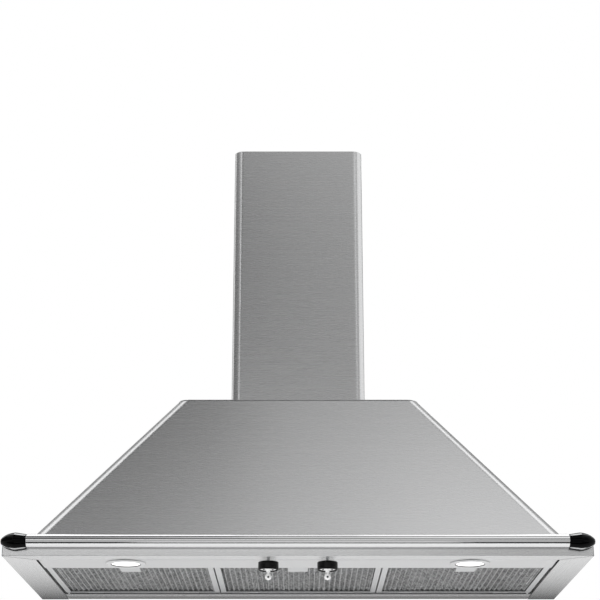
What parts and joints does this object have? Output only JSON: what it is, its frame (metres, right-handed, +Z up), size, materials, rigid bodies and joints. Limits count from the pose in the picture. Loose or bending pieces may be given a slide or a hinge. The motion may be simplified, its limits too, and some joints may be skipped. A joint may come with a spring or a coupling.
{
  "type": "chimney range hood",
  "caption": "Wall-mounted stainless steel range hood: pyramid canopy, telescopic chimney, framed rim with a rounded front rail, two knobs, two lamps and tilting pleated filters.",
  "frame": {"origin": "on the wall, on the rear face of the back panel, midway between the two hooks that carry the hood", "axes": "+X to the right as seen from the front, +Y towards the wall, +Z up"},
  "size_m": [1.1, 0.5263, 0.9708],
  "materials": {
    "brushed_steel": "stainless sheet with a fine grain along its length, satin",
    "rail_steel": "stainless profile, finely ground, brighter than the sheet",
    "black_gloss": "moulded, black, polished",
    "bright_chrome": "polished",
    "filter_aluminium": "expanded and rolled aluminium, mill finish",
    "lamp_glass": "frosted, lit from behind",
    "galvanised_steel": "zinc coated, dull with faint spangle",
    "dark_plastic": "moulded, fine grain",
    "grey_plastic": "moulded, fine grain",
    "motor_paint": "satin paint"
  },
  "bodies": {
    "housing": {"rim_front": "brushed_steel", "rim_left": "brushed_steel", "rim_right": "brushed_steel", "rim_back": "brushed_steel", "canopy_shell": "brushed_steel", "canopy_top_plate": "brushed_steel", "lamp_panel": "brushed_steel", "chimney_lower": "brushed_steel", "front_rail": "rail_steel", "end_cap_left": "black_gloss", "end_cap_right": "black_gloss", "lamp_bezel_left": "bright_chrome", "lamp_bezel_right": "bright_chrome", "lamp_lens_left": "lamp_glass", "lamp_lens_right": "lamp_glass", "back_panel": "galvanised_steel", "hook_left": "galvanised_steel", "hook_right": "galvanised_steel", "lamp_housing_left": "galvanised_steel", "lamp_housing_right": "galvanised_steel", "blower_scroll": "galvanised_steel", "blower_side_left": "galvanised_steel", "blower_side_right": "galvanised_steel", "motor_bracket": "galvanised_steel", "blower_screw_left": "galvanised_steel", "blower_screw_right": "galvanised_steel", "outlet_collar": "galvanised_steel", "damper_pin": "galvanised_steel", "chimney_foot_left": "galvanised_steel", "chimney_foot_right": "galvanised_steel", "fan_switch": "dark_plastic", "light_switch": "dark_plastic", "inlet_ring_left": "dark_plastic", "inlet_ring_right": "dark_plastic", "cable_gland": "dark_plastic", "lamp_driver": "grey_plastic", "terminal_box": "grey_plastic", "terminal_cover": "grey_plastic", "motor": "motor_paint"},
    "fan_knob": {"fan_knob": "black_gloss", "fan_knob_grip": "bright_chrome", "fan_switch_shaft": "galvanised_steel"},
    "light_knob": {"light_knob": "black_gloss", "light_knob_grip": "bright_chrome", "light_switch_shaft": "galvanised_steel"},
    "impeller": {"impeller": "galvanised_steel", "motor_shaft": "galvanised_steel"},
    "filter_left": {"filter_frame_left": "filter_aluminium", "filter_mesh_left": "filter_aluminium"},
    "filter_middle": {"filter_frame_middle": "filter_aluminium", "filter_mesh_middle": "filter_aluminium"},
    "filter_right": {"filter_frame_right": "filter_aluminium", "filter_mesh_right": "filter_aluminium"},
    "latch_left": {"filter_latch_left": "filter_aluminium"},
    "latch_middle": {"filter_latch_middle": "filter_aluminium"},
    "latch_right": {"filter_latch_right": "filter_aluminium"},
    "chimney_upper": {"chimney_upper": "brushed_steel", "ceiling_bracket": "galvanised_steel"},
    "damper_front": {"damper_front": "galvanised_steel"},
    "damper_rear": {"damper_rear": "galvanised_steel"}
  },
  "joints": [
    {"name": "fan_knob_turn", "type": "hinge", "parent": "housing", "child": "fan_knob", "pos_m": [-0.0555, -0.446, -0.3], "axis": [0, 0, 1], "range_deg": [0, 135]},
    {"name": "light_knob_turn", "type": "hinge", "parent": "housing", "child": "light_knob", "pos_m": [0.0555, -0.446, -0.3], "axis": [0, 0, 1], "range_deg": [0, 90]},
    {"name": "impeller_spin", "type": "hinge", "parent": "housing", "child": "impeller", "pos_m": [0, -0.19, -0.0915], "axis": [1, 0, 0], "continuous": true},
    {"name": "chimney_extend", "type": "slide", "parent": "housing", "child": "chimney_upper", "axis": [0, 0, 1], "range_m": [0, 0.35]},
    {"name": "damper_front_lift", "type": "hinge", "parent": "housing", "child": "damper_front", "pos_m": [0, -0.125, 0.0968], "axis": [-1, 0, 0], "range_deg": [0, 75]},
    {"name": "damper_rear_lift", "type": "hinge", "parent": "housing", "child": "damper_rear", "pos_m": [0, -0.125, 0.0968], "axis": [1, 0, 0], "range_deg": [0, 75]},
    {"name": "filter_left_tilt", "type": "hinge", "parent": "housing", "child": "filter_left", "pos_m": [-0.3246, -0.066, -0.29735], "axis": [1, 0, 0], "range_deg": [0, 70]},
    {"name": "latch_left_pull", "type": "slide", "parent": "filter_left", "child": "latch_left", "axis": [0, 1, 0], "range_m": [0, 0.006], "stiffness_N_per_m": 300, "springref_m": -0.004},
    {"name": "filter_middle_tilt", "type": "hinge", "parent": "housing", "child": "filter_middle", "pos_m": [0, -0.066, -0.29735], "axis": [1, 0, 0], "range_deg": [0, 70]},
    {"name": "latch_middle_pull", "type": "slide", "parent": "filter_middle", "child": "latch_middle", "axis": [0, 1, 0], "range_m": [0, 0.006], "stiffness_N_per_m": 300, "springref_m": -0.004},
    {"name": "filter_right_tilt", "type": "hinge", "parent": "housing", "child": "filter_right", "pos_m": [0.3246, -0.066, -0.29735], "axis": [1, 0, 0], "range_deg": [0, 70]},
    {"name": "latch_right_pull", "type": "slide", "parent": "filter_right", "child": "latch_right", "axis": [0, 1, 0], "range_m": [0, 0.006], "stiffness_N_per_m": 300, "springref_m": -0.004}
  ]
}
